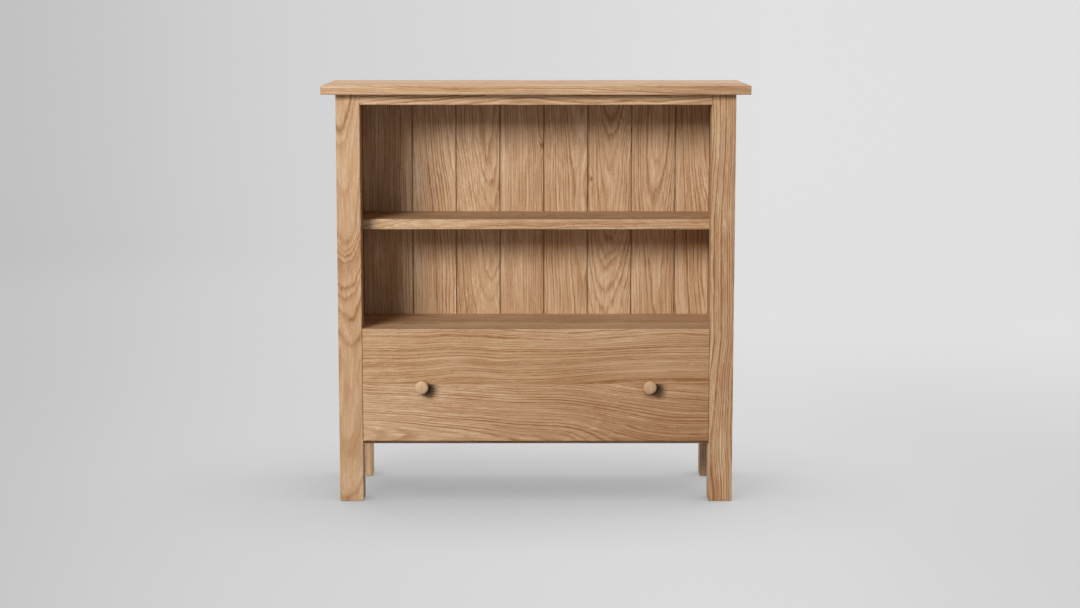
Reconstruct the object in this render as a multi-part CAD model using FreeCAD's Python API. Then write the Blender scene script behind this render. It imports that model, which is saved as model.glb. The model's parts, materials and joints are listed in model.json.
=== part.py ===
"""Solid oak bookcase: two open bays over one wide drawer, on four square posts.

Units are millimetres. The working frame has X to the right, Y from the posts' front faces to the back
and Z up from the floor. Each piece is moved, as it is saved, so that the origin is the middle of the
whole object's base. Left and right are as seen from the front.
"""
import FreeCAD, Part
import math
import os

Vector = FreeCAD.Vector
LEFT, RIGHT = -1, 1
SIDES = {"left": LEFT, "right": RIGHT}

# ---- carcase ----
case_width = 850.0             # over the posts
case_depth = 306.0             # over the posts
post_size = 51.0               # square section
post_height = 881.0
top_thickness = 19.0
top_overhang = 29.0            # front and both sides; the back edge is flush
arris = 1.0                    # small chamfer along edges that a hand meets

# ---- rails ----
front_rail_height = 22.5
front_rail_depth = 45.0
side_rail_height = 60.0
side_rail_thickness = 24.0
back_rail_height = 60.0
back_rail_thickness = 22.0
side_recess = 14.0             # from the posts' inner faces out to the side panels
side_tenon_thickness = 12.0
side_tenon_length = 24.0
cross_tenon_thickness = 10.0
cross_tenon_length = 16.0
front_tenon_width = 29.0
front_tenon_height = 12.0
tenon_shoulder = 8.0           # above and below a tenon
mortise_end_gap = 1.0

# ---- side panels ----
panel_thickness = 18.0
panel_tongue_thickness = 10.0
panel_tongue_length = 7.0
panel_end_gap = 1.0            # room for the panel to move in its grooves

# ---- back boards ----
back_thickness = 18.0
board_pitch = 98.0
first_board_cover = 111.5      # from the left side panel to the first joint
narrowest_board = 40.0
board_gap = 1.0
board_chamfer = 1.5
board_tongue_thickness = 5.0
board_tongue_length = 6.0
board_groove_depth = 6.0
board_end_gap = 0.5

# ---- shelf ----
shelf_top = 610.0
shelf_thickness = 22.0
shelf_clearance = 0.5
shelf_front_gap = 1.0          # behind the front posts
peg_radius = 3.0
peg_in_panel = 9.0
peg_reach = 8.0
peg_inset = 36.0               # from the shelf's front and back edges
peg_gap = 0.1                  # round the peg in its hole, and between it and the shelf

# ---- boards above and below the drawer ----
floor_top = 378.0
floor_thickness = 19.0
bottom_board_underside = 124.0
bottom_board_thickness = 18.0
housing_height = 8.0
housing_depth = 6.0
housing_end_gap = 0.5

# ---- drawer ----
drawer_front_bottom = 133.0
drawer_front_thickness = 20.0
drawer_joint_rise = 2.5        # of the glued joint between its two boards over the front's middle
front_seat_gap = 0.5           # between the shut front and the boards that it laps over
drawer_side_gap = 0.5
drawer_running_gap = 0.3
drawer_kick_gap = 2.0
drawer_rear_gap = 10.0
drawer_side_thickness = 14.0
drawer_back_thickness = 12.0
drawer_back_drop = 10.0        # the back's top edge below the sides'
drawer_bottom_thickness = 8.0
drawer_bottom_height = 9.0     # of the bottom panel above the sides' lower edges
drawer_groove_depth = 6.0
drawer_groove_gap = 0.5
dovetail_lap = 6.0             # wood left in front of the tails
dovetail_pin = 8.0             # a pin's narrow width
dovetail_slope = 7.0           # one in seven
front_tails = 4
back_tails = 3
kicker_thickness = 20.0
kicker_width = 36.0
guide_height = 30.0
stop_length = 40.0
stop_depth = 24.0
stop_height = 6.0
stop_gap = 0.3
stop_x = 205.0

# ---- knobs ----
knob_x = 245.0
knob_radius = 14.0
knob_length = 34.0
knob_foot_radius = 8.5
knob_foot_length = 3.0
knob_neck_radius = 6.0
knob_neck_at = 11.0
knob_rim_at = 29.5             # where the head is widest
knob_flare_turn = 60.0         # degrees of the hollow under the head
knob_flare_steps = 2
knob_crown_steps = 3
knob_screw_radius = 2.0
knob_screw_gap = 0.1           # round and past the screw in its hole
knob_screw_depth = 15.0        # in the knob
knob_screw_head_radius = 4.0
knob_screw_head_height = 2.6

# ---- buttons under the top ----
button_length = 22.0           # without its tongue
button_width = 26.0
button_thickness = 18.0
button_tongue_length = 8.0
button_tongue_thickness = 8.0
button_tongue_rise = 3.0       # above the button's lower face
button_inset = 42.0            # from the posts to a button's middle

# ---- places that follow from the sizes ----
half_width = case_width / 2
opening_half = half_width - post_size
bay_half = opening_half + side_recess
back_post_front = case_depth - post_size
back_plane = back_post_front - back_thickness
panel_reach = panel_tongue_length + panel_end_gap
floor_bottom = floor_top - floor_thickness
bottom_board_top = bottom_board_underside + bottom_board_thickness
side_rail_underside = post_height - side_rail_height
bottom_rail_top = bottom_board_underside + side_rail_height
shelf_bottom = shelf_top - shelf_thickness
lap_front = drawer_front_thickness + front_seat_gap
knob_height = (drawer_front_bottom + floor_top) / 2
drawer_front_joint = knob_height + drawer_joint_rise
drawer_half = opening_half - drawer_side_gap
drawer_rear = back_plane - drawer_rear_gap
drawer_side_bottom = bottom_board_top + drawer_running_gap
kicker_bottom = floor_bottom - kicker_thickness
drawer_side_top = kicker_bottom - drawer_kick_gap
drawer_side_inner = drawer_half - drawer_side_thickness
drawer_panel_bottom = drawer_side_bottom + drawer_bottom_height
drawer_panel_top = drawer_panel_bottom + drawer_bottom_thickness
drawer_panel_half = drawer_side_inner + drawer_groove_depth
front_reach = max(top_overhang, knob_length)
frame_shift = Vector(0, (front_reach - case_depth) / 2, 0)


# ---- helpers ----

def box(x_span, y_span, z_span):
    """A box between two X, two Y and two Z values, each pair in either order."""
    low = [min(span) for span in (x_span, y_span, z_span)]
    size = [abs(span[1] - span[0]) for span in (x_span, y_span, z_span)]
    return Part.makeBox(*size, Vector(*low))


def on_side(side, inner, outer):
    """The X span on one side of the middle."""
    return (side * inner, side * outer)


def cut_all(shape, tools):
    """The shape less each tool."""
    return shape.cut(tools) if tools else shape


def edges_where(shape, test):
    """The straight edges whose two ends pass a test."""
    return [edge for edge in shape.Edges if all(test(vertex.Point) for vertex in edge.Vertexes)]


def along(axis):
    """A test for edges that run along one axis: 0 is X, 1 is Y and 2 is Z."""
    def runs(edge):
        first, last = (vertex.Point for vertex in edge.Vertexes)
        return abs(abs(last[axis] - first[axis]) - (last - first).Length) < 1e-6
    return runs


def eased(shape, axis):
    """A board with the arris taken off its four long edges."""
    return shape.makeChamfer(arris, [edge for edge in shape.Edges if along(axis)(edge)])


def prism(points, sweep):
    """A closed outline of points, swept along a vector."""
    return Part.Face(Part.makePolygon(points + points[:1])).extrude(sweep)


def save(name, shape):
    """Move a piece into the object's own frame, check it and write it."""
    placed = shape.copy()
    placed.translate(frame_shift)
    if not placed.isValid() or placed.Volume <= 0:
        raise ValueError(f"{name} isn't a valid solid")
    placed.exportStep(os.path.join("parts", f"{name}.step"))


def save_group(name, solids):
    """Write like pieces as separate solids of one node."""
    save(name, Part.makeCompound(solids))


# ---- rail tenons and the mortises that hold them ----

def side_tenon(side, face, direction, z_low, z_high, length):
    """A side rail's tenon, from a post's face along Y."""
    inner = bay_half + (side_rail_thickness - side_tenon_thickness) / 2
    return box(on_side(side, inner, inner + side_tenon_thickness), (face, face + direction * length),
               (z_low + tenon_shoulder, z_high - tenon_shoulder))


def cross_tenon(side, y_span, z_span, length):
    """A front or back rail's tenon, from a post's inner face out along X."""
    return box(on_side(side, opening_half, opening_half + length), y_span, z_span)


def front_tenon_spans():
    """Where the front rail's tenons lie in Y and Z."""
    y_low = (front_rail_depth - front_tenon_width) / 2
    z_low = post_height - (front_rail_height + front_tenon_height) / 2
    return (y_low, y_low + front_tenon_width), (z_low, z_low + front_tenon_height)


def back_tenon_spans(z_low, z_high):
    """Where a back rail's tenons lie in Y and Z."""
    y_low = back_post_front + (back_rail_thickness - cross_tenon_thickness) / 2
    return (y_low, y_low + cross_tenon_thickness), (z_low + tenon_shoulder, z_high - tenon_shoulder)


side_rail_levels = {"bottom": (bottom_board_underside, bottom_rail_top),
                    "top": (side_rail_underside, post_height)}
back_rail_levels = {"bottom": (bottom_board_underside, bottom_board_underside + back_rail_height),
                    "top": (post_height - back_rail_height, post_height)}


def panel_groove(side, y_span, z_span):
    """The groove that a side panel's tongue lies in."""
    inner = bay_half + (panel_thickness - panel_tongue_thickness) / 2
    return box(on_side(side, inner, inner + panel_tongue_thickness), y_span, z_span)


# ---- posts ----

def post(side, at_front):
    """A square post with its mortises, its panel groove and eased edges."""
    y_low = 0 if at_front else back_post_front
    blank = box(on_side(side, opening_half, half_width), (y_low, y_low + post_size), (0, post_height))
    blank = blank.makeChamfer(arris, [edge for edge in blank.Edges if along(2)(edge)]
                              + edges_where(blank, lambda point: point.z < arris / 2))
    inward = 1 if at_front else -1
    face = post_size if at_front else back_post_front
    depth = side_tenon_length + mortise_end_gap
    tools = [side_tenon(side, face, -inward, low, high, depth) for low, high in side_rail_levels.values()]
    tools.append(panel_groove(side, (face, face - inward * panel_reach),
                              (bottom_rail_top - panel_reach, side_rail_underside + panel_reach)))
    cross_depth = cross_tenon_length + mortise_end_gap
    if at_front:
        tools.append(cross_tenon(side, *front_tenon_spans(), cross_depth))
    else:
        for low, high in back_rail_levels.values():
            tools.append(cross_tenon(side, *back_tenon_spans(low, high), cross_depth))
    return cut_all(blank, tools)


def make_posts():
    """The four posts."""
    for side_name, side in SIDES.items():
        save(f"front_{side_name}_post", post(side, True))
        save(f"back_{side_name}_post", post(side, False))


# ---- top and what holds it ----

def button_places():
    """Each button's side and its middle in Y."""
    depths = (post_size + button_inset, back_plane - button_inset)
    return [(side, y) for side in SIDES.values() for y in depths]


def button_slot_levels():
    """The lower and upper face of a button's tongue."""
    low = post_height - button_thickness + button_tongue_rise
    return low, low + button_tongue_thickness


def make_top():
    """The top board, and the buttons that hold it to the side rails."""
    half = half_width + top_overhang
    top = box((-half, half), (-top_overhang, case_depth), (post_height, post_height + top_thickness))
    save("top_board", top.makeChamfer(arris, top.Edges))
    underside = post_height - button_thickness
    buttons = []
    for side, y in button_places():
        y_span = (y - button_width / 2, y + button_width / 2)
        body = box(on_side(side, bay_half - button_length, bay_half), y_span, (underside, post_height))
        body = body.makeChamfer(arris, edges_where(body, lambda point: point.z < underside + arris / 2))
        tongue = box(on_side(side, bay_half - arris, bay_half + button_tongue_length), y_span,
                     button_slot_levels())
        buttons.append(body.fuse(tongue))
    save_group("top_buttons", buttons)


# ---- rails ----

def make_front_rail():
    """The shallow rail under the top's front, with a tenon at each end."""
    low = post_height - front_rail_height
    rail = eased(box((-opening_half, opening_half), (0, front_rail_depth), (low, post_height)), 0)
    tenons = [cross_tenon(side, *front_tenon_spans(), cross_tenon_length) for side in SIDES.values()]
    save("front_top_rail", rail.fuse(tenons))


def make_side_rails():
    """The four side rails, each with two tenons, a panel groove and its own housings."""
    for side_name, side in SIDES.items():
        for level, (low, high) in side_rail_levels.items():
            rail = eased(box(on_side(side, bay_half, bay_half + side_rail_thickness),
                             (post_size, back_post_front), (low, high)), 1)
            rail = rail.fuse([side_tenon(side, post_size, -1, low, high, side_tenon_length),
                              side_tenon(side, back_post_front, 1, low, high, side_tenon_length)])
            if level == "bottom":
                panel_edge = (high - panel_reach, high)
                tools = [housing(side, bottom_board_underside, bottom_board_thickness, housing_depth)]
            else:
                panel_edge = (low, low + panel_reach)
                tools = button_slots(side)
            tools.append(panel_groove(side, (post_size, back_post_front), panel_edge))
            save(f"{side_name}_{level}_rail", cut_all(rail, tools))


def button_slots(side):
    """The slots in a side's top rail that its buttons hook into."""
    slots = []
    for button_side, y in button_places():
        if button_side == side:
            slots.append(box(on_side(side, bay_half, bay_half + button_tongue_length + mortise_end_gap),
                             (y - button_width / 2 - mortise_end_gap, y + button_width / 2 + mortise_end_gap),
                             button_slot_levels()))
    return slots


def make_back_rails():
    """The two rails between the back posts, behind the back boards."""
    for level, (low, high) in back_rail_levels.items():
        rail = eased(box((-opening_half, opening_half),
                         (back_post_front, back_post_front + back_rail_thickness), (low, high)), 0)
        tenons = [cross_tenon(side, *back_tenon_spans(low, high), cross_tenon_length)
                  for side in SIDES.values()]
        save(f"back_{level}_rail", rail.fuse(tenons))


# ---- side panels ----

def shelf_peg_axes():
    """Each peg's side, its Y and its height."""
    front = post_size + shelf_front_gap
    depths = (front + peg_inset, back_plane - shelf_clearance - peg_inset)
    return [(side, y, shelf_bottom - peg_radius - peg_gap) for side in SIDES.values() for y in depths]


def make_side_panels():
    """Panels with a tongue all round, a housing for the cabinet floor and blind holes for the pegs."""
    for side_name, side in SIDES.items():
        outer = bay_half + panel_thickness
        panel = box(on_side(side, bay_half, outer), (post_size, back_post_front),
                    (bottom_rail_top, side_rail_underside))
        tongue = panel_groove(side, (post_size - panel_tongue_length, back_post_front + panel_tongue_length),
                              (bottom_rail_top - panel_tongue_length,
                               side_rail_underside + panel_tongue_length))
        tools = [housing(side, floor_bottom, floor_thickness, housing_depth)]
        for peg_side, y, z in shelf_peg_axes():
            if peg_side == side:
                tools.append(Part.makeCylinder(peg_radius + peg_gap, peg_in_panel + peg_gap,
                                               Vector(side * bay_half, y, z), Vector(side, 0, 0)))
        save(f"{side_name}_side_panel", cut_all(panel.fuse(tongue), tools))


# ---- back boards ----

def board_faces():
    """The left and right edge of each back board's face."""
    joints = [-bay_half + first_board_cover]
    while joints[-1] + board_pitch < bay_half - narrowest_board:
        joints.append(joints[-1] + board_pitch)
    lefts = [-bay_half + board_end_gap] + [joint + board_gap / 2 for joint in joints]
    rights = [joint - board_gap / 2 for joint in joints] + [bay_half - board_end_gap]
    return list(zip(lefts, rights))


def board_outline(left, right, has_groove, has_tongue):
    """A back board seen from above, face at the front, with its chamfers, groove and tongue."""
    front, back = back_plane, back_post_front
    tongue_front = (front + back - board_tongue_thickness) / 2
    tongue_back = tongue_front + board_tongue_thickness
    points = [(left, front + board_chamfer), (left + board_chamfer, front),
              (right - board_chamfer, front), (right, front + board_chamfer)]
    if has_tongue:
        tip = right + board_tongue_length
        points += [(right, tongue_front), (tip, tongue_front), (tip, tongue_back), (right, tongue_back)]
    points += [(right, back), (left, back)]
    if has_groove:
        floor = left + board_groove_depth
        points += [(left, tongue_back), (floor, tongue_back), (floor, tongue_front), (left, tongue_front)]
    return [Vector(x, y, bottom_board_underside) for x, y in points]


def make_back_boards():
    """The upright tongue-and-groove boards."""
    faces = board_faces()
    for index, (left, right) in enumerate(faces):
        outline = board_outline(left, right, index > 0, index < len(faces) - 1)
        save(f"back_board_{index + 1}", prism(outline, Vector(0, 0, post_height - bottom_board_underside)))


# ---- shelf, floor and bottom board ----

def make_shelf():
    """The loose shelf and the four pegs that it lies on."""
    half = bay_half - shelf_clearance
    shelf = box((-half, half), (post_size + shelf_front_gap, back_plane - shelf_clearance),
                (shelf_bottom, shelf_top))
    save("shelf", eased(shelf, 0))
    pegs = []
    for side, y, z in shelf_peg_axes():
        start = Vector(side * (bay_half + peg_in_panel), y, z)
        pegs.append(Part.makeCylinder(peg_radius, peg_in_panel + peg_reach, start, Vector(-side, 0, 0)))
    save_group("shelf_pegs", pegs)


def housing(side, underside, thickness, depth):
    """The groove in a side, or with less depth the tongue of the board that it holds."""
    low = underside + (thickness - housing_height) / 2
    return box(on_side(side, bay_half, bay_half + depth), (post_size, back_plane),
               (low, low + housing_height))


def housed_board(underside, thickness):
    """A board that fills the bay, fits round the front posts and has a tongue at each end."""
    z_span = (underside, underside + thickness)
    board = box((-bay_half, bay_half), (post_size, back_plane), z_span)
    between_posts = box((-opening_half, opening_half), (lap_front, post_size), z_span)
    tongues = [housing(side, underside, thickness, housing_depth - housing_end_gap)
               for side in SIDES.values()]
    return board.fuse([between_posts] + tongues).removeSplitter()


def make_drawer_bay():
    """The boards above and below the drawer, with its kickers, guides and stops."""
    save("cabinet_floor", housed_board(floor_bottom, floor_thickness))
    save("bottom_board", housed_board(bottom_board_underside, bottom_board_thickness))
    bay_depth = (post_size, back_plane)
    for side_name, side in SIDES.items():
        save(f"{side_name}_kicker", box(on_side(side, bay_half - kicker_width, bay_half), bay_depth,
                                        (kicker_bottom, floor_bottom)))
        save(f"{side_name}_drawer_guide", box(on_side(side, opening_half, bay_half), bay_depth,
                                              (bottom_board_top, bottom_board_top + guide_height)))
    stop_front = drawer_front_thickness + stop_gap
    stops = [box((x - stop_length / 2, x + stop_length / 2), (stop_front, stop_front + stop_depth),
                 (bottom_board_top, bottom_board_top + stop_height)) for x in (-stop_x, stop_x)]
    save_group("drawer_stops", stops)


# ---- drawer ----

def tails(side, root, tip, z_low, z_high, count):
    """Dovetail tails on a drawer side: narrow at the root, wide at the tip, through its thickness."""
    pitch = (z_high - z_low) / count
    flare = abs(tip - root) / dovetail_slope
    shapes = []
    for index in range(count):
        low = z_low + index * pitch + dovetail_pin / 2
        high = z_low + (index + 1) * pitch - dovetail_pin / 2
        x = side * drawer_side_inner
        points = [Vector(x, root, low + flare), Vector(x, tip, low),
                  Vector(x, tip, high), Vector(x, root, high - flare)]
        shapes.append(prism(points, Vector(side * drawer_side_thickness, 0, 0)))
    return shapes


def bottom_groove():
    """The groove for the drawer's bottom panel, open at the rear, as one cutting tool."""
    half = drawer_panel_half + drawer_groove_gap
    front = drawer_front_thickness - drawer_groove_depth - drawer_groove_gap
    return box((-half, half), (front, drawer_rear), (drawer_panel_bottom, drawer_panel_top))


def knob_screw_hole(x):
    """The hole through the drawer front and into a knob."""
    return Part.makeCylinder(knob_screw_radius + knob_screw_gap, drawer_front_thickness + knob_screw_depth,
                             Vector(x, drawer_front_thickness, knob_height), Vector(0, -1, 0))


def drawer_front():
    """The whole front, with eased outer edges, lapped dovetail sockets, groove and knob holes."""
    front = box((-drawer_half, drawer_half), (0, drawer_front_thickness), (drawer_front_bottom, floor_top))
    front = front.makeChamfer(arris, edges_where(front, lambda point: point.y < arris / 2))
    tools = [bottom_groove()] + [knob_screw_hole(x) for x in (-knob_x, knob_x)]
    for side in SIDES.values():
        tools += tails(side, drawer_front_thickness, dovetail_lap, drawer_side_bottom, drawer_side_top,
                       front_tails)
    return cut_all(front, tools)


def drawer_back():
    """The back, over the bottom panel and a little lower than the sides, with its dovetail sockets."""
    low, high = drawer_panel_top, drawer_side_top - drawer_back_drop
    back = box((-drawer_half, drawer_half), (drawer_rear - drawer_back_thickness, drawer_rear), (low, high))
    tools = []
    for side in SIDES.values():
        tools += tails(side, drawer_rear - drawer_back_thickness, drawer_rear, low, high, back_tails)
    return cut_all(back, tools)


def make_drawer():
    """The drawer's front boards, sides, back and bottom panel."""
    front = drawer_front()
    back = drawer_back()
    whole_x = (-case_width, case_width)
    whole_y = (-case_depth, case_depth)
    lower = box(whole_x, whole_y, (0, drawer_front_joint))
    save("drawer_front_lower", front.common(lower))
    save("drawer_front_upper", front.cut(lower))
    save("drawer_back", back)
    for side_name, side in SIDES.items():
        blank = box(on_side(side, drawer_side_inner, drawer_half), (dovetail_lap, drawer_rear),
                    (drawer_side_bottom, drawer_side_top))
        save(f"{side_name}_drawer_side", blank.cut([front, back, bottom_groove()]))
    panel = box((-drawer_panel_half, drawer_panel_half),
                (drawer_front_thickness - drawer_groove_depth, drawer_rear),
                (drawer_panel_bottom, drawer_panel_top))
    save("drawer_bottom", panel)


# ---- knobs ----

def arc_points(centre, radii, start, end, steps):
    """Points on an arc, round or elliptical, without its first one; angles in degrees from +X."""
    angles = [math.radians(start + (end - start) * step / steps) for step in range(1, steps + 1)]
    return [(centre[0] + radii[0] * math.cos(angle), centre[1] + radii[1] * math.sin(angle))
            for angle in angles]


def knob_outline():
    """Half of a knob's section: X is the radius, and Y is minus the distance from the drawer front."""
    flare_size = (knob_radius - knob_neck_radius, knob_rim_at - knob_neck_at)
    crown_size = (knob_radius, knob_length - knob_rim_at)
    flare = arc_points((knob_radius, -knob_neck_at), flare_size, 180, 180 + knob_flare_turn, knob_flare_steps)
    crown = arc_points((0, -knob_rim_at), crown_size, 0, -90, knob_crown_steps)
    points = [(0, 0), (knob_foot_radius, 0), (knob_foot_radius, -knob_foot_length),
              (knob_neck_radius, -knob_neck_at)] + flare + [(knob_radius, -knob_rim_at)] + crown[:-1]
    points.append((0, -knob_length))
    vectors = [Vector(x, y, 0) for x, y in points]
    return Part.Face(Part.makePolygon(vectors + vectors[:1]))


def make_knobs():
    """The two turned knobs and the screws through the drawer front."""
    forward = Vector(0, -1, 0)
    screws = []
    for side_name, side in SIDES.items():
        x = side * knob_x
        knob = knob_outline().revolve(Vector(0, 0, 0), Vector(0, 1, 0), 360)
        knob.translate(Vector(x, 0, knob_height))
        save(f"{side_name}_knob", knob.cut(knob_screw_hole(x)))
        seat = Vector(x, drawer_front_thickness, knob_height)
        head = Part.makeCylinder(knob_screw_head_radius, knob_screw_head_height,
                                 seat - forward * knob_screw_head_height, forward)
        length = drawer_front_thickness + knob_screw_depth - knob_screw_gap
        screws.append(head.fuse(Part.makeCylinder(knob_screw_radius, length, seat, forward)))
    save_group("knob_screws", screws)


def main():
    """Write every piece."""
    os.makedirs("parts", exist_ok=True)
    make_posts()
    make_top()
    make_front_rail()
    make_side_rails()
    make_back_rails()
    make_side_panels()
    make_back_boards()
    make_shelf()
    make_drawer_bay()
    make_drawer()
    make_knobs()


main()
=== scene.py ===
"""Finishes, small fittings, floor, lights and camera for the solid oak bookcase.

Everything is in metres, in the frame of the CAD model: X to the right, Y from the front to the back, Z up,
with the origin in the middle of the base. Oak is written in millimetres in each board's own frame, and the
sizes of knobs, screws and buttons are in millimetres too.
"""
import json
import logging
import math
from dataclasses import dataclass, field, replace
from enum import Enum
from typing import Any, Callable, Iterable, Optional, Sequence, Union

import bpy
from mathutils import Matrix, Vector

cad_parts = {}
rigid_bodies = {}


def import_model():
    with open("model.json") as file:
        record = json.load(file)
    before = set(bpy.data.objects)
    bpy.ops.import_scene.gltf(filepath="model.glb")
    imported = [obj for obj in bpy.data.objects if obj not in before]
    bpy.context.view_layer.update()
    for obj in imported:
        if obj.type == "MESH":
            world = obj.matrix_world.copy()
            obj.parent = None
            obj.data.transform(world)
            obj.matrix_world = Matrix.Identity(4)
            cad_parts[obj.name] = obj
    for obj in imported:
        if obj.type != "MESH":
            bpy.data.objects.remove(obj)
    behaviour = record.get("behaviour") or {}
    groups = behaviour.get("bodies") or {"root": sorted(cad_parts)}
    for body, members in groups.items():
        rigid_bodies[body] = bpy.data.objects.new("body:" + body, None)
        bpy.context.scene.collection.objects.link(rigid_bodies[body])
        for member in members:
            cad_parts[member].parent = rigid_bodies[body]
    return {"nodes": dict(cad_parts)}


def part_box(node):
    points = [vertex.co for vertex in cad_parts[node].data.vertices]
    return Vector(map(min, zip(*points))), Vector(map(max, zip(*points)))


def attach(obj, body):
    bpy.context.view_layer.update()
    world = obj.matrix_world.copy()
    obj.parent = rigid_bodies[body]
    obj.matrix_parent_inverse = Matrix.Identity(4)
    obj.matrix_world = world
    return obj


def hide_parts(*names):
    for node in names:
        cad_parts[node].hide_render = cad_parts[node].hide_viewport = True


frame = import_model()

logging.basicConfig(level=logging.INFO, format="%(name)s: %(message)s")
log = logging.getLogger("bookcase")

Triple = tuple[float, float, float]
Colour = Triple
Span = tuple[float, float]
Inputs = dict[Union[int, str], Any]
Number = Union[float, "Value"]
Outline = list[tuple[float, float]]

MM = 0.001                     # metres in a millimetre
SIDES = ("left", "right")


# ---- shader graphs ----

class Value:
    """A number socket of a shader graph, with arithmetic that adds Math nodes."""

    def __init__(self, graph: "Graph", socket: bpy.types.NodeSocket) -> None:
        """Wrap a socket.

        Args:
            graph: The graph that the socket belongs to.
            socket: The output socket.
        """
        self.graph = graph
        self.socket = socket

    def _math(self, operation: str, *operands: Number, clamp: bool = False) -> "Value":
        """The result of a Math node on its operands, in their order."""
        inputs = dict(enumerate(operands))
        return self.graph.node("ShaderNodeMath", inputs, operation=operation, use_clamp=clamp)

    def __add__(self, other: Number) -> "Value":
        """self + other."""
        return self._math("ADD", self, other)

    def __sub__(self, other: Number) -> "Value":
        """self - other."""
        return self._math("SUBTRACT", self, other)

    def __rsub__(self, other: Number) -> "Value":
        """other - self."""
        return self._math("SUBTRACT", other, self)

    def __mul__(self, other: Number) -> "Value":
        """self * other."""
        return self._math("MULTIPLY", self, other)

    def __truediv__(self, other: Number) -> "Value":
        """self / other."""
        return self._math("DIVIDE", self, other)

    def __rtruediv__(self, other: Number) -> "Value":
        """other / self."""
        return self._math("DIVIDE", other, self)

    def __pow__(self, other: Number) -> "Value":
        """self to the power of other."""
        return self._math("POWER", self, other)

    def __rpow__(self, other: Number) -> "Value":
        """other to the power of self."""
        return self._math("POWER", other, self)

    def __neg__(self) -> "Value":
        """-self."""
        return self * -1.0

    __radd__ = __add__
    __rmul__ = __mul__

    def root(self) -> "Value":
        """The square root."""
        return self._math("SQRT", self)

    def floor(self) -> "Value":
        """The whole number below."""
        return self._math("FLOOR", self)

    def fraction(self) -> "Value":
        """What is left over the whole number."""
        return self._math("FRACT", self)

    def size(self) -> "Value":
        """The absolute value."""
        return self._math("ABSOLUTE", self)

    def clamped(self) -> "Value":
        """The value held between 0 and 1."""
        return self._math("ADD", self, 0.0, clamp=True)

    def at_least(self, least: Number) -> "Value":
        """The value, or the least one where that is larger."""
        return self._math("MAXIMUM", self, least)

    def between(self, low: Number, high: Number) -> "Value":
        """The value stretched, so that 0 becomes low and 1 becomes high."""
        return self * (high - low) + low

    def falling(self, reach: float) -> "Value":
        """A bell that falls from 1 at zero to almost nothing past a reach."""
        return math.e ** -((self / reach) ** 2.0)

    def step(self, low: float, high: float) -> "Value":
        """A smooth step that rises from 0 at low to 1 at high."""
        return self.graph.node("ShaderNodeMapRange", {"Value": self, "From Min": low, "From Max": high},
                               interpolation_type="SMOOTHSTEP")


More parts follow.
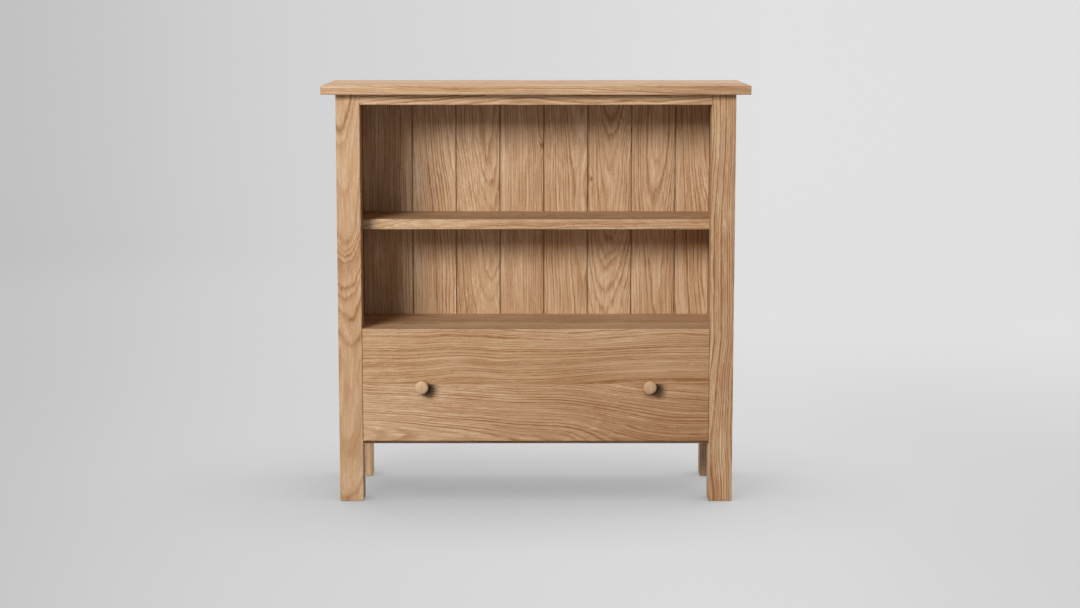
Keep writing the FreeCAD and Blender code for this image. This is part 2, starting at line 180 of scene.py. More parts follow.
class Graph:
    """The node tree of a material or of the world, built up by calls."""

    def __init__(self, owner: Union[bpy.types.Material, bpy.types.World]) -> None:
        """Start with an empty tree.

        Args:
            owner: The material or the world.
        """
        owner.use_nodes = True
        self.owner = owner
        self.tree = owner.node_tree
        self.tree.nodes.clear()

    def add(self, kind: str, inputs: Optional[Inputs] = None, stops: Sequence[tuple[float, Colour]] = (),
            **settings: Any) -> bpy.types.Node:
        """Add a node: its settings first, then the values or links of its sockets.

        Args:
            kind: The node's type.
            inputs: Values or links by socket name or number.
            stops: A colour ramp's places and colours.
            **settings: The node's own properties.

        Returns:
            The node.
        """
        made = self.tree.nodes.new(kind)
        for key, setting in settings.items():
            setattr(made, key, setting)
        if stops:
            ramp = made.color_ramp
            while len(ramp.elements) < len(stops):
                ramp.elements.new(1.0)
            for element, (place, colour) in zip(ramp.elements, stops):
                element.position = place
                element.color = (*colour, 1.0)
        for key, content in (inputs or {}).items():
            if isinstance(content, Value):
                self.tree.links.new(content.socket, made.inputs[key])
            else:
                made.inputs[key].default_value = content
        return made

    def node(self, kind: str, inputs: Optional[Inputs] = None, output: Union[int, str] = 0,
             **settings: Any) -> Value:
        """Add a node and take one of its outputs.

        Args:
            kind: The node's type.
            inputs: Values or links by socket name or number.
            output: The output's name or number.
            **settings: The node's own properties, or the stops of a colour ramp.

        Returns:
            The output.
        """
        return Value(self, self.add(kind, inputs, **settings).outputs[output])

    def noise(self, place: Value, waves: Triple, detail: float = 2.0, roughness: float = 0.5,
              output: str = "Fac") -> Value:
        """Soft noise.

        Args:
            place: Where to read it.
            waves: How many waves it has per unit along each axis.
            detail: How many finer layers are added.
            roughness: How strong the finer layers are.
            output: Its one number or its colour, which holds three.

        Returns:
            The noise.
        """
        scaled = self.node("ShaderNodeMapping", {"Vector": place, "Scale": waves}, vector_type="POINT")
        return self.node("ShaderNodeTexNoise", {"Vector": scaled, "Scale": 1.0, "Detail": detail,
                                                "Roughness": roughness}, output)

    def waves(self, place: Value, detail: float = 1.0) -> Value:
        """Soft noise along a line."""
        return self.node("ShaderNodeTexNoise", {"W": place, "Scale": 1.0, "Detail": detail}, "Fac",
                         noise_dimensions="1D")

    def draw(self, place: Value, output: str = "Value") -> Value:
        """A fixed draw for each whole number."""
        return self.node("ShaderNodeTexWhiteNoise", {"W": place}, output, noise_dimensions="1D")

    def ramp(self, share: Value, stops: Iterable[tuple[float, Colour]]) -> Value:
        """The colour of a ramp at a share of its length."""
        return self.node("ShaderNodeValToRGB", {"Fac": share}, stops=tuple(stops))

    def parts(self, vector: Value) -> tuple[Value, Value, Value]:
        """The three numbers of a vector or a colour."""
        split = self.add("ShaderNodeSeparateXYZ", {0: vector})
        return tuple(Value(self, socket) for socket in split.outputs)

    def joined(self, x: Number, y: Number, z: Number) -> Value:
        """A vector from three numbers."""
        return self.node("ShaderNodeCombineXYZ", {0: x, 1: y, 2: z})

    def blend(self, share: Number, first: Union[Value, Colour], second: Union[Value, Colour],
              mode: str = "MIX") -> Value:
        """Two colours mixed.

        Args:
            share: How much of the second colour there is.
            first: The colour where the share is 0.
            second: The colour where it is 1, or the one that the mode lays over the first.
            mode: How they are mixed.

        Returns:
            The colour.
        """
        colours = [colour if isinstance(colour, Value) else (*colour, 1.0) for colour in (first, second)]
        # A Mix node has its share at 0 and its colours at 6 and 7, and hands the mixed colour out at 2.
        return self.node("ShaderNodeMix", {0: share, 6: colours[0], 7: colours[1]}, 2, data_type="RGBA",
                         blend_type=mode)

    def close(self, surface: Value, kind: str = "ShaderNodeOutputMaterial") -> None:
        """Join a shader to an output node."""
        self.add(kind, {"Surface": surface})

    def finish(self, surface: Value) -> bpy.types.Material:
        """Join a shader to the output and hand back the material."""
        self.close(surface)
        return self.owner


def greys(levels: Iterable[tuple[float, float]]) -> Iterable[tuple[float, Colour]]:
    """The stops of a grey ramp, from pairs of place and level."""
    return ((place, (level,) * 3) for place, level in levels)


# ---- finishes ----

class Lay(Enum):
    """How a board lies: the rows give its own axes, across its face, through it and along its grain."""

    UPRIGHT_FACING_FRONT = ((1, 0, 0), (0, 1, 0), (0, 0, 1))
    UPRIGHT_FACING_SIDE = ((0, 1, 0), (-1, 0, 0), (0, 0, 1))
    LEVEL_FACING_FRONT = ((0, 0, -1), (0, 1, 0), (1, 0, 0))
    LEVEL_FACING_UP = ((0, 1, 0), (0, 0, 1), (1, 0, 0))
    DEEP_FACING_SIDE = ((0, 0, 1), (1, 0, 0), (0, 1, 0))
    DEEP_FACING_UP = ((-1, 0, 0), (0, 0, 1), (0, 1, 0))


@dataclass(frozen=True)
class Pattern:
    """Soft noise in the wood: its waves per mm across and along the fibres, and its finer layers.

    A pattern with a rise starts at the first of its two noise levels and is full at the second.
    """

    across: float
    along: float
    detail: float = 2.0
    roughness: float = 0.5
    rise: Optional[Span] = None

    def at(self, place: Value, output: str = "Fac") -> Value:
        """The pattern at a place in the wood.

        Args:
            place: The place in mm, with the fibres along its Z.
            output: The noise's one number or its colour, which holds three.

        Returns:
            The pattern.
        """
        waves = (self.across, self.across, self.along)
        noise = place.graph.noise(place, waves, self.detail, self.roughness, output)
        return noise.step(*self.rise) if self.rise else noise


# What every board of oak has, from the widest pattern to the finest.
BENDS = Pattern(0.005, 0.0032, detail=1.0)
TINTS = Pattern(0.008, 0.0025)
PATCHES = Pattern(0.02, 0.005)
WOBBLES = Pattern(0.028, 0.011)
RIPPLES = Pattern(0.16, 0.02)
BANDS = Pattern(0.16, 0.004)
FIBRES = Pattern(0.40, 0.0065, detail=4.0, roughness=0.75)
PALE_LINES = Pattern(0.40, 0.007, rise=(0.50, 0.70))
DASHES = Pattern(0.50, 0.035, roughness=0.6, rise=(0.36, 0.62))
FLECKS = Pattern(0.90, 0.20, roughness=0.6)
PORES = Pattern(2.0, 0.09, detail=1.0, rise=(0.54, 0.70))

# How far apart boards with neighbouring seeds are in each noise and draw, so that no two look alike.
RINGS_APART = 731.0
FIBRES_APART = 389.0
STAVES_APART = 17.0
STRENGTHS_APART = 5.0


@dataclass(frozen=True)
class Growth:
    """How oak grows. Swings are in mm, for each unit of a board's wander or ripple.

    Spells of wide and narrow rings are counted per mm of radius, and their swing is in rings. The ring's
    shape is how dark the wood is from the start of a ring to its end, and the ring's strength how strongly
    the weakest ring and the strongest one show.
    """

    bend: float = 2.6
    wobble: float = 5.0
    ripple: float = 2.0
    spells: float = 0.045
    spell_detail: float = 2.0
    spell_swing: float = 7.0
    ring_shape: tuple[tuple[float, float], ...] = (
        (0.0, 0.5), (0.07, 1.0), (0.22, 0.66), (0.42, 0.16), (0.62, 0.0), (0.90, 0.0), (1.0, 0.5))
    ring_strength: Span = (0.25, 1.0)


@dataclass(frozen=True)
class Figure:
    """How the rings and fibres show on a sawn face.

    A rise is where a smooth step starts and where it is full: on how flat the face lies on a ring, which
    calms the ring down, on how far it leans away from the board's axes, and on how squarely it cuts the
    fibres. Levels are how strongly a ring shows where a pattern is weakest and strongest. From base to end,
    the shares are how much each thing darkens the wood, where 0 is the light tint and 1 the dark one, with
    the middle tint in between. The last ones are how much rougher the rings and pores are, how deep they
    lie, and how deep the deepest pore is, in mm.
    """

    flat_rise: Span = (0.80, 1.0)
    flat_calm: float = 0.45
    bevel_rise: Span = (0.2, 0.45)
    end_rise: Span = (0.7, 0.95)
    dash_levels: Span = (0.5, 1.1)
    patch_levels: Span = (0.3, 1.7)
    base: float = 0.27
    tone: float = 1.5
    fibre: float = 1.05
    band: float = 0.4
    fleck: float = 0.4
    pore: float = 0.12
    grain_pore: float = 0.4
    pale_line: float = 0.20
    patch: float = 0.4
    tint: float = 0.5
    core: float = 1.1
    end: float = 0.16
    middle_at: float = 0.36
    grain_roughness: float = 0.10
    pore_roughness: float = 0.08
    grain_sink: float = 0.35
    pore_sink: float = 0.8
    fibre_sink: float = 0.8
    relief: float = 0.12


@dataclass(frozen=True)
class Gluing:
    """How the staves of a glued board differ. Lengths are in mm.

    For each step of a board's seed its staves' edges are shifted by a share of a stave, and the shifts come
    round again. The next three are how far apart the staves' piths are, tone is how much paler the palest
    stave is than the darkest, and the seam is the thin dark glue line between two staves.
    """

    shift: float = 0.37
    shifts: int = 7
    across: float = 60.0
    depth: float = 36.0
    along: float = 3000.0
    tone: float = 0.16
    seam_reach: float = 0.35
    seam_depth: float = 0.18


GROWTH = Growth()
FIGURE = Figure()
GLUING = Gluing()


@dataclass(frozen=True)
class Knot:
    """A small knot in a board's face, in mm from the board's middle.

    Slimness is its width over its length. Its reach and push are how far off it bends the rings and how far
    it pushes them out, in radii.
    """

    across: float
    along: float
    radius: float = 3.0
    slimness: float = 0.45
    reach: float = 3.0
    push: float = 1.5


@dataclass(frozen=True)
class ContactShade:
    """The dark painted shade on a front face beside what keeps the light from the upper left away.

    Something counts when it is within reach, in metres. The shade starts to fade and is gone where a place
    is as open to the light as the open rise says, and lies on faces that look to the front.
    """

    strength: float = 0.97
    colour: Colour = (0.036, 0.010, 0.0015)
    towards_light: Triple = (-0.50, -0.66, 0.56)
    reach: float = 0.042
    open_rise: Span = (0.66, 0.74)
    front_rise: Span = (0.8, 0.95)
    samples: int = 24

    def over(self, colour: Value) -> Value:
        """Lay the shade over a colour.

        Args:
            colour: The wood's colour.

        Returns:
            The shaded colour.
        """
        graph = colour.graph
        towards_light = graph.joined(*self.towards_light)
        open_share = graph.node("ShaderNodeAmbientOcclusion", {
            "Distance": self.reach, "Normal": towards_light}, "AO", samples=self.samples)
        surface = graph.parts(graph.node("ShaderNodeTexCoord", {}, "Normal"))
        hidden = (1.0 - open_share.step(*self.open_rise)) * (-surface[1]).step(*self.front_rise)
        # Painted shade: the shadows of the knobs and other near things are laid into the wood's colour.
        return graph.blend(hidden * self.strength, colour, self.colour)


@dataclass(frozen=True)
class Place:
    """A place in a board: across its face, through it and along its grain, in mm from its middle."""

    across: Value
    depth: Value
    along: Value


@dataclass(frozen=True)
class Stave:
    """The stave of a glued board that a place is in.

    It has the place as seen from its own pith, a draw from 0 to 1 for how pale it is, and the distance to
    the nearer glue line, in mm and below zero.
    """

    place: Place
    tone: Value
    seam: Value


@dataclass(frozen=True)
class Cut:
    """How a face cuts the rings at a place.

    The count is the ring's number, with its fraction, and the fibres are coordinates in mm that follow
    them. Flat is 1 where the face lies flat on a ring and 0 where it crosses the rings squarely. Bevel is 1
    on a bevel, and end is 1 on end grain.
    """

    count: Value
    fibres: Value
    flat: Value
    bevel: Value
    end: Value


@dataclass(frozen=True)
class Oak:
    """A board of oak with growth rings round a pith, seen wherever its faces cut them. Lengths are in mm.

    The pith is placed from the board's middle: across its face and through its thickness. For each mm of
    length, lean brings it nearer to the face, which draws the arched figure of a flat-sawn board, and skew
    moves it across. Wander is how far it strays, ripple how uneven the rings are and contrast how dark. The
    seed picks the stretch of the tree. Tone is how pale the board is, where 1 is plain oak, and streaks how
    strong its fine lines are. A board with a stave width is glued up from such staves. Fade is how much
    darker it gets per metre along its grain, and cast how much darker it gets per square metre towards one
    edge of its face and paler towards the other. Joint is how dark the bevels at its edges look, and contact
    the painted shade, laid into its colour, beside what stands on it. Gloss is how strongly its lacquer
    reflects, and bump how strongly its relief shows.
    """

    lay: Lay = Lay.UPRIGHT_FACING_FRONT
    across: float = 0.0
    depth: float = 30.0
    lean: float = 0.03
    skew: float = 0.0
    ring: float = 3.4
    seed: int = 0
    contrast: float = 1.0
    wander: float = 9.0
    tone: float = 1.0
    stave: float = 0.0
    knots: tuple[Knot, ...] = ()
    fade: float = 0.0
    streaks: float = 1.0
    ripple: float = 0.9
    cast: float = 0.0
    joint: float = 0.0
    contact: Optional[ContactShade] = None
    light: Colour = (0.624, 0.450, 0.294)
    middle: Colour = (0.466, 0.281, 0.149)
    dark: Colour = (0.262, 0.110, 0.038)
    roughness: float = 0.48
    gloss: float = 0.24
    bump: float = 0.25

    def further(self, stretches: int) -> "Oak":
        """The same cut, some stretches further up the tree."""
        return replace(self, seed=self.seed + stretches)

    def _place(self, graph: Graph, centre: Vector) -> Place:
        """Object coordinates turned and moved into the board's own frame.

        Args:
            graph: The material's graph.
            centre: The board's middle, in metres.

        Returns:
            The place on the board.
        """
        turn = Matrix(self.lay.value)
        start = turn @ (centre / MM)
        coordinates = graph.node("ShaderNodeTexCoord", {}, "Object")
        placed = graph.node("ShaderNodeMapping", {"Vector": coordinates, "Location": tuple(-start),
                                                  "Rotation": tuple(turn.to_euler()),
                                                  "Scale": (1 / MM,) * 3}, vector_type="POINT")
        return Place(*graph.parts(placed))

    def _stave_at(self, graph: Graph, place: Place) -> Stave:
        """The stave that a place of a glued board is in.

        Args:
            graph: The material's graph.
            place: The place on the board.

        Returns:
            The stave.
        """
        shifted = place.across / self.stave + GLUING.shift * (self.seed % GLUING.shifts)
        number = shifted.floor()
        offset = shifted - number - 0.5
        chance = graph.parts(graph.draw(number + self.seed * STAVES_APART, "Color"))
        sawn = Place(across=offset * self.stave + (chance[0] - 0.5) * GLUING.across,
                     depth=place.depth + (chance[1] - 0.5) * GLUING.depth,
                     along=place.along + chance[2] * GLUING.along)
        return Stave(sawn, tone=chance[1], seam=(offset.size() - 0.5) * self.stave)

    def _knots_at(self, place: Place) -> tuple[Number, Number]:
        """What the knots do at a place.

        Args:
            place: The place in the tree.

        Returns:
            How far they push the rings out, in mm, and how much of the place is in a knot.
        """
        bulge: Number = 0.0
        core: Number = 0.0
        for knot in self.knots:
            beside = place.across - knot.across
            beyond = (place.along - knot.along) * knot.slimness
            distance = (beside * beside + beyond * beyond).root()
            bulge = bulge + distance.falling(knot.radius * knot.reach) * (knot.radius * knot.push)
            core = core + distance.falling(knot.radius)
        return bulge, core

    def _cut_at(self, graph: Graph, place: Place, bulge: Number) -> Cut:
        """How the board's face cuts the rings at a place.

        Args:
            graph: The material's graph.
            place: The place in the tree.
            bulge: How far the knots push the rings out.

        Returns:
            The cut.
        """
        spot = graph.joined(place.across, place.depth, place.along + self.seed * RINGS_APART)
        bend = graph.parts(BENDS.at(spot, "Color"))
        wobble = graph.parts(WOBBLES.at(spot, "Color"))
        ripple = RIPPLES.at(spot)
        bend_swing, wobble_swing = GROWTH.bend * self.wander, GROWTH.wobble * self.ripple
        sideways = (place.across - self.across + place.along * self.skew + (bend[0] - 0.5) * bend_swing
                    + (wobble[0] - 0.5) * wobble_swing)
        inward = (place.depth - self.depth + place.along * self.lean + (bend[1] - 0.5) * bend_swing
                  + (wobble[1] - 0.5) * wobble_swing)
        radius = ((sideways * sideways + inward * inward).root() + bulge
                  + (ripple - 0.5) * (GROWTH.ripple * self.ripple))
        spell = graph.waves(radius * GROWTH.spells, GROWTH.spell_detail) - 0.5
        surface = graph.node("ShaderNodeTexCoord", {}, "Normal")
        facing = [graph.node("ShaderNodeVectorMath", {0: surface, 1: tuple(map(float, axis))}, "Value",
                             operation="DOT_PRODUCT") for axis in self.lay.value]
        return Cut(count=radius * (1 / self.ring) + spell * GROWTH.spell_swing,
                   fibres=graph.joined(sideways, inward, place.along + self.seed * FIBRES_APART),
                   flat=((facing[0] * sideways + facing[1] * inward) / radius).size(),
                   bevel=(facing[0] * facing[1]).size().step(*FIGURE.bevel_rise),
                   end=facing[2].size().step(*FIGURE.end_rise))

    def _grain(self, graph: Graph, cut: Cut, patch: Value) -> Value:
        """How dark the rings are at a place.

        Args:
            graph: The material's graph.
            cut: How the face cuts the rings.
            patch: How dark the patch round the place is.

        Returns:
            The grain, from 0 to about 1.
        """
        strength = graph.draw(cut.count.floor() + self.seed * STRENGTHS_APART).between(*GROWTH.ring_strength)
        early = graph.ramp(cut.count.fraction(), greys(GROWTH.ring_shape))
        dashes = DASHES.at(cut.fibres).between(*FIGURE.dash_levels)
        calm = 1.0 - cut.flat.step(*FIGURE.flat_rise) * FIGURE.flat_calm
        return early * strength * dashes * patch.between(*FIGURE.patch_levels) * calm

    def material(self, name: str, centre: Vector) -> bpy.types.Material:
        """Build the finish for one board.

        Args:
            name: The material's name.
            centre: The board's middle, in metres.

        Returns:
            The material.
        """
        graph = Graph(bpy.data.materials.new(name))
        place = self._place(graph, centre)
        aside = place.across
        stave = self._stave_at(graph, place) if self.stave else None
        if stave:
            place = stave.place
        bulge, core = self._knots_at(place)
        cut = self._cut_at(graph, place, bulge)
        patch = PATCHES.at(cut.fibres)
        grain = self._grain(graph, cut, patch)
        fibre = (FIBRES.at(cut.fibres) - 0.5) * self.streaks
        pores = PORES.at(cut.fibres)
        dark = (grain * self.contrast
                + fibre * FIGURE.fibre
                + (BANDS.at(cut.fibres) - 0.5) * FIGURE.band
                + (FLECKS.at(cut.fibres) - 0.5) * FIGURE.fleck
                + pores * (grain * FIGURE.grain_pore + FIGURE.pore)
                - PALE_LINES.at(cut.fibres) * self.streaks * FIGURE.pale_line
                + core * FIGURE.core
                + (patch - 0.5) * FIGURE.patch
                + (0.5 - TINTS.at(cut.fibres)) * FIGURE.tint
                + place.along * (self.fade * MM)
                + aside * aside.size() * (self.cast * MM * MM)
                + cut.end * FIGURE.end
                + (FIGURE.base + FIGURE.tone * (1.0 - self.tone)))
        colour = graph.ramp(dark.clamped(), (
            (0.0, self.light), (FIGURE.middle_at, self.middle), (1.0, self.dark)))
        if self.joint:
            colour = graph.blend(cut.bevel * self.joint, colour, (0.0, 0.0, 0.0))
        # The contact shade is painted shade, blended into the base colour.
        if self.contact:
            colour = self.contact.over(colour)
        if stave:
            seam = stave.seam.falling(GLUING.seam_reach) * GLUING.seam_depth
            level = ((stave.tone - 0.5) * GLUING.tone + 1.0) * (1.0 - seam)
            grey = graph.node("ShaderNodeCombineColor", {0: level, 1: level, 2: level})
            colour = graph.blend(1.0, colour, grey, "MULTIPLY")
        rough = grain * FIGURE.grain_roughness + pores * FIGURE.pore_roughness + self.roughness
        sunk = grain * FIGURE.grain_sink + pores * FIGURE.pore_sink + fibre * FIGURE.fibre_sink
        normal = graph.node("ShaderNodeBump", {"Strength": self.bump, "Distance": FIGURE.relief * MM,
                                               "Height": -sunk}, "Normal")
        return graph.finish(graph.node("ShaderNodeBsdfPrincipled", {
            "Base Color": colour, "Roughness": rough, "Specular IOR Level": self.gloss, "Normal": normal}))


@dataclass(frozen=True)
class Plated:
    """Plated steel with a faint brushed look.

    Brush marks and blotches are counted per metre along each axis, and the relief is in mm.
    """

    colour: Colour = (0.62, 0.60, 0.55)
    roughness: float = 0.34
    brushing: Triple = (2600.0, 900.0, 2600.0)
    blotches: Triple = (160.0, 160.0, 160.0)
    tint_rise: Span = (0.35, 0.75)
    worn: float = 0.72
    uneven: float = 0.25
    bump: float = 0.15
    relief: float = 0.02

    def material(self, name: str) -> bpy.types.Material:
        """Build the finish.

        Args:
            name: The material's name.

        Returns:
            The material.
        """
        graph = Graph(bpy.data.materials.new(name))
        place = graph.node("ShaderNodeTexCoord", {}, "Object")
        brushed = graph.noise(place, self.brushing, detail=3.0)
        blotch = graph.noise(place, self.blotches)
        worn = tuple(part * self.worn for part in self.colour)
        tint = graph.blend((brushed * 0.5 + blotch * 0.5).step(*self.tint_rise), self.colour, worn)
        rough = (blotch - 0.5) * self.uneven + self.roughness
        normal = graph.node("ShaderNodeBump", {"Strength": self.bump, "Distance": self.relief * MM,
                                               "Height": brushed}, "Normal")
        return graph.finish(graph.node("ShaderNodeBsdfPrincipled", {
            "Base Color": tint, "Roughness": rough, "Metallic": 1.0, "Normal": normal}))


@dataclass(frozen=True)
class StudioPaper:
    """The pale sweep under and behind the object, a painted glow: darker at the left, painted soft shadow
    under it.

    Its painted shades fan out, from left to right, from a vantage point in front of the object, and nothing
    is reckoned nearer to that point than the nearest distance. They spread more slowly near the front, and
    the floor is dimmer there, above all at the right, as a painted falloff of light. A rise is where such a
    change starts and ends, in metres along X or Y. Bounce is the light that the paper throws back on the
    object, and its painted light share is how much of what is seen is its own glow of painted light and
    shadow.
    """

    shades: tuple[tuple[float, float], ...] = (
        (0.017, 0.565), (0.117, 0.602), (0.19, 0.64), (0.281, 0.677), (0.5, 0.73), (0.705, 0.79))
    vantage: float = 4.8
    nearest: float = 1.5
    fan: float = 2.0
    near_spread: float = 0.75
    spread_rise: Span = (-1.0, 3.0)
    near_level: float = 0.92
    level_rise: Span = (-1.0, 6.0)
    right_dim: float = 0.14
    dim_right_rise: Span = (0.0, 1.2)
    dim_back_rise: Span = (0.0, 2.5)
    bounce: float = 0.28
    painted_light_share: float = 0.93
    shadow_depth: float = 0.55
    shadow_reach: float = 0.5
    shadow_samples: int = 8

    def material(self, name: str) -> bpy.types.Material:
        """Build the finish.

        Args:
            name: The material's name.

        Returns:
            The material.
        """
        graph = Graph(bpy.data.materials.new(name))
        rightward, backward, _ = graph.parts(graph.node("ShaderNodeTexCoord", {}, "Object"))
        spread = backward.step(*self.spread_rise).between(self.near_spread, 1.0)
        distance = (backward + self.vantage).at_least(self.nearest)
        shade = graph.ramp(((rightward / distance) * spread * self.fan + 0.5).clamped(), greys(self.shades))
        level = backward.step(*self.level_rise).between(self.near_level, 1.0)
        # Painted falloff of light: the near floor is dimmer at the right.
        dimmed = rightward.step(*self.dim_right_rise) * (1.0 - backward.step(*self.dim_back_rise))
        # Painted shadow: occlusion by the object darkens the glow under and beside it.
        open_share = graph.node("ShaderNodeAmbientOcclusion", {"Distance": self.shadow_reach}, "AO",
                                samples=self.shadow_samples)
        shadow = (open_share - 1.0) * self.shadow_depth + 1.0
        own = shade * level * (1.0 - dimmed * self.right_dim) * shadow
        path = graph.add("ShaderNodeLightPath")
        camera, mirror = (Value(graph, path.outputs[ray]) for ray in ("Is Camera Ray", "Is Glossy Ray"))
        seen = (camera + mirror).clamped()
        paper = graph.node("ShaderNodeBsdfDiffuse", {"Color": graph.blend(seen, (self.bounce,) * 3, shade)})
        # The glow is the painted light and shadow that the camera and reflections see.
        glow = graph.node("ShaderNodeEmission", {"Color": own, "Strength": 1.0})
        return graph.finish(graph.node("ShaderNodeMixShader", {0: seen * self.painted_light_share, 1: paper, 2: glow}))


# ---- modelling helpers ----

def clear_selection() -> None:
    """Select nothing."""
    for other in bpy.context.view_layer.objects:
        other.select_set(False)


def only(piece: bpy.types.Object) -> None:
    """Select one object and nothing else.

    Args:
        piece: The object, which also becomes the active one.
    """
    clear_selection()
    piece.select_set(True)
    bpy.context.view_layer.objects.active = piece


def apply_place(piece: bpy.types.Object) -> None:
    """Bring a piece's place, turn and scale into its mesh."""
    only(piece)
    bpy.ops.object.transform_apply(location=True, rotation=True, scale=True)


def settle(piece: bpy.types.Object, name: str) -> None:
    """Bring a finished piece's place into its mesh and name it.

    Args:
        piece: The piece.
        name: Its name, which its mesh gets too.
    """
    apply_place(piece)
    piece.name = name
    piece.data.name = name


def steady(share: float) -> float:
    """The share itself."""
    return share


def easing_off(share: float) -> float:
    """A share that starts fast and ends slowly, as a quarter of a sine."""
    return math.sin(share * math.pi / 2)


def gathering(share: float) -> float:
    """A share that starts slowly and ends fast, as a quarter of a cosine."""
    return 1 - math.cos(share * math.pi / 2)


def curve(start: Span, end: Span, steps: int, widen: Callable[[float], float],
          advance: Callable[[float], float]) -> Outline:
    """One stretch of a turned outline.

    Args:
        start: The radius and reach that it goes on from.
        end: The radius and reach that it comes to.
        steps: How many points it has.
        widen: How the radius goes from start to end.
        advance: How the reach goes from start to end.

    Returns:
        The points after the start.
    """
    shares = [step / steps for step in range(1, steps + 1)]
    return [(start[0] + (end[0] - start[0]) * widen(share), start[1] + (end[1] - start[1]) * advance(share))
            for share in shares]


def in_metres(outline: Outline) -> Outline:
    """An outline in mm brought to metres."""
    return [(radius * MM, reach * MM) for radius, reach in outline]


TIP_RADIUS = 0.001 * MM        # what a tip is drawn in to before its points are merged
SAME_PLACE = 0.0001 * MM       # points nearer to each other than this are one


def turned(name: str, outline: Outline, base: Vector, segments: int = 64,
           smooth_angle: float = 40.0) -> bpy.types.Object:
    """A solid turned about an axis that runs forward, from its base to its tip.

    Args:
        name: The piece's name.
        outline: Pairs of radius and reach from the base, in metres. The last one closes the tip.
        base: The middle of the base.
        segments: Faces round the axis.
        smooth_angle: Edges flatter than this, in degrees, are shaded smooth.

    Returns:
        The piece.
    """
    clear_selection()
    bpy.ops.mesh.primitive_circle_add(vertices=segments, radius=outline[0][0], fill_type="NGON",
                                      location=base, rotation=(math.radians(90), 0, 0))
    piece = bpy.context.active_object
    apply_place(piece)
    bpy.ops.object.mode_set(mode="EDIT")
    bpy.ops.mesh.select_all(action="SELECT")
    last_radius, last_reach = outline[0]
    for radius, reach in outline[1:]:
        radius = max(radius, TIP_RADIUS)
        share = radius / last_radius
        bpy.ops.mesh.extrude_region_move(TRANSFORM_OT_translate={"value": (0, last_reach - reach, 0)})
        bpy.ops.transform.resize(value=(share, 1, share), center_override=base - Vector((0, reach, 0)))
        last_radius, last_reach = radius, reach
    bpy.ops.mesh.merge(type="CENTER")
    bpy.ops.mesh.select_all(action="SELECT")
    bpy.ops.mesh.remove_doubles(threshold=SAME_PLACE)
    bpy.ops.mesh.normals_make_consistent(inside=False)
    bpy.ops.object.mode_set(mode="OBJECT")
    bpy.ops.object.shade_smooth_by_angle(angle=math.radians(smooth_angle))
    settle(piece, name)
    return piece


def apply_modifier(piece: bpy.types.Object, kind: str, **settings: Any) -> None:
    """Add a modifier and apply it.

    Args:
        piece: The piece.
        kind: The modifier's type.
        **settings: The modifier's own properties.
    """
    only(piece)
    modifier = piece.modifiers.new(kind.title(), kind)
    for key, setting in settings.items():
        setattr(modifier, key, setting)
    bpy.ops.object.modifier_apply(modifier=modifier.name)


def dress(piece: bpy.types.Object, material: bpy.types.Material) -> None:
    """Give a piece one material all over."""
    piece.data.materials.clear()
    piece.data.materials.append(material)


def middle_of(node: str) -> Vector:
    """The middle of a CAD node's box."""
    low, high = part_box(node)
    return (low + high) / 2


def dress_node(node: str, oak: Oak) -> None:
    """Give a CAD node its own cut of oak."""
    dress(frame["nodes"][node], oak.material(f"oak_{node}", middle_of(node)))
    log.info("%s dressed", node)


# ---- sub-assemblies ----

@dataclass
class Posts:
    """The four corner posts."""

    cuts: dict[str, Oak] = field(default_factory=lambda: {
        "front_left_post": Oak(across=-4.0, depth=62.0, lean=0.06, seed=29, ring=4.6, wander=14.0,
                               contrast=1.35, tone=0.955, fade=0.08, streaks=0.6, ripple=0.8),
        "front_right_post": Oak(across=-62.0, depth=40.0, lean=0.02, seed=11, contrast=1.2, wander=12.0,
                                streaks=0.9),
        "back_left_post": Oak(across=40.0, depth=-60.0, lean=0.02, seed=19, contrast=0.8, tone=1.03,
                              streaks=0.8),
        "back_right_post": Oak(across=-30.0, depth=-55.0, seed=23, contrast=0.9),
    })

    def dress(self) -> None:
        """Give each post its cut."""
        for node, oak in self.cuts.items():
            dress_node(node, oak)


@dataclass
class Boards:
    """The level boards: top, shelf, cabinet floor and bottom board."""

    top: Oak = Oak(Lay.LEVEL_FACING_UP, depth=-34.0, seed=31, stave=84.0, tone=0.97)
    shelf: Oak = Oak(Lay.LEVEL_FACING_UP, depth=-60.0, lean=0.09, skew=0.10, seed=410, ring=4.4, tone=0.97)
    floor: Oak = Oak(Lay.LEVEL_FACING_UP, depth=-30.0, lean=0.015, seed=41, stave=96.0)
    bottom: Oak = Oak(Lay.LEVEL_FACING_UP, lean=0.015, seed=43, stave=96.0, tone=0.97)

    def dress(self) -> None:
        """Give each board its cut."""
        dress_node("top_board", self.top)
        dress_node("shelf", self.shelf)
        dress_node("cabinet_floor", self.floor)
        dress_node("bottom_board", self.bottom)


@dataclass
class Rails:
    """The rails between the posts, and the side panels that stand in them."""

    front: Oak = Oak(Lay.LEVEL_FACING_FRONT, across=26.0, depth=22.0, lean=0.02, seed=47, contrast=1.35)
    back: Oak = Oak(Lay.LEVEL_FACING_FRONT, depth=-34.0, lean=0.02, seed=53)
    side: Oak = Oak(Lay.DEEP_FACING_SIDE, depth=36.0, seed=59)
    panel: Oak = Oak(Lay.UPRIGHT_FACING_SIDE, depth=34.0, seed=61, stave=71.0, tone=1.03)

    def dress(self) -> None:
        """Give each rail and panel its cut."""
        dress_node("front_top_rail", self.front)
        for offset, node in enumerate(("back_top_rail", "back_bottom_rail")):
            dress_node(node, self.back.further(offset))
        for offset, side in enumerate(SIDES):
            dress_node(f"{side}_top_rail", self.side.further(offset))
            dress_node(f"{side}_bottom_rail", self.side.further(len(SIDES) + offset))
            dress_node(f"{side}_side_panel", self.panel.further(offset))


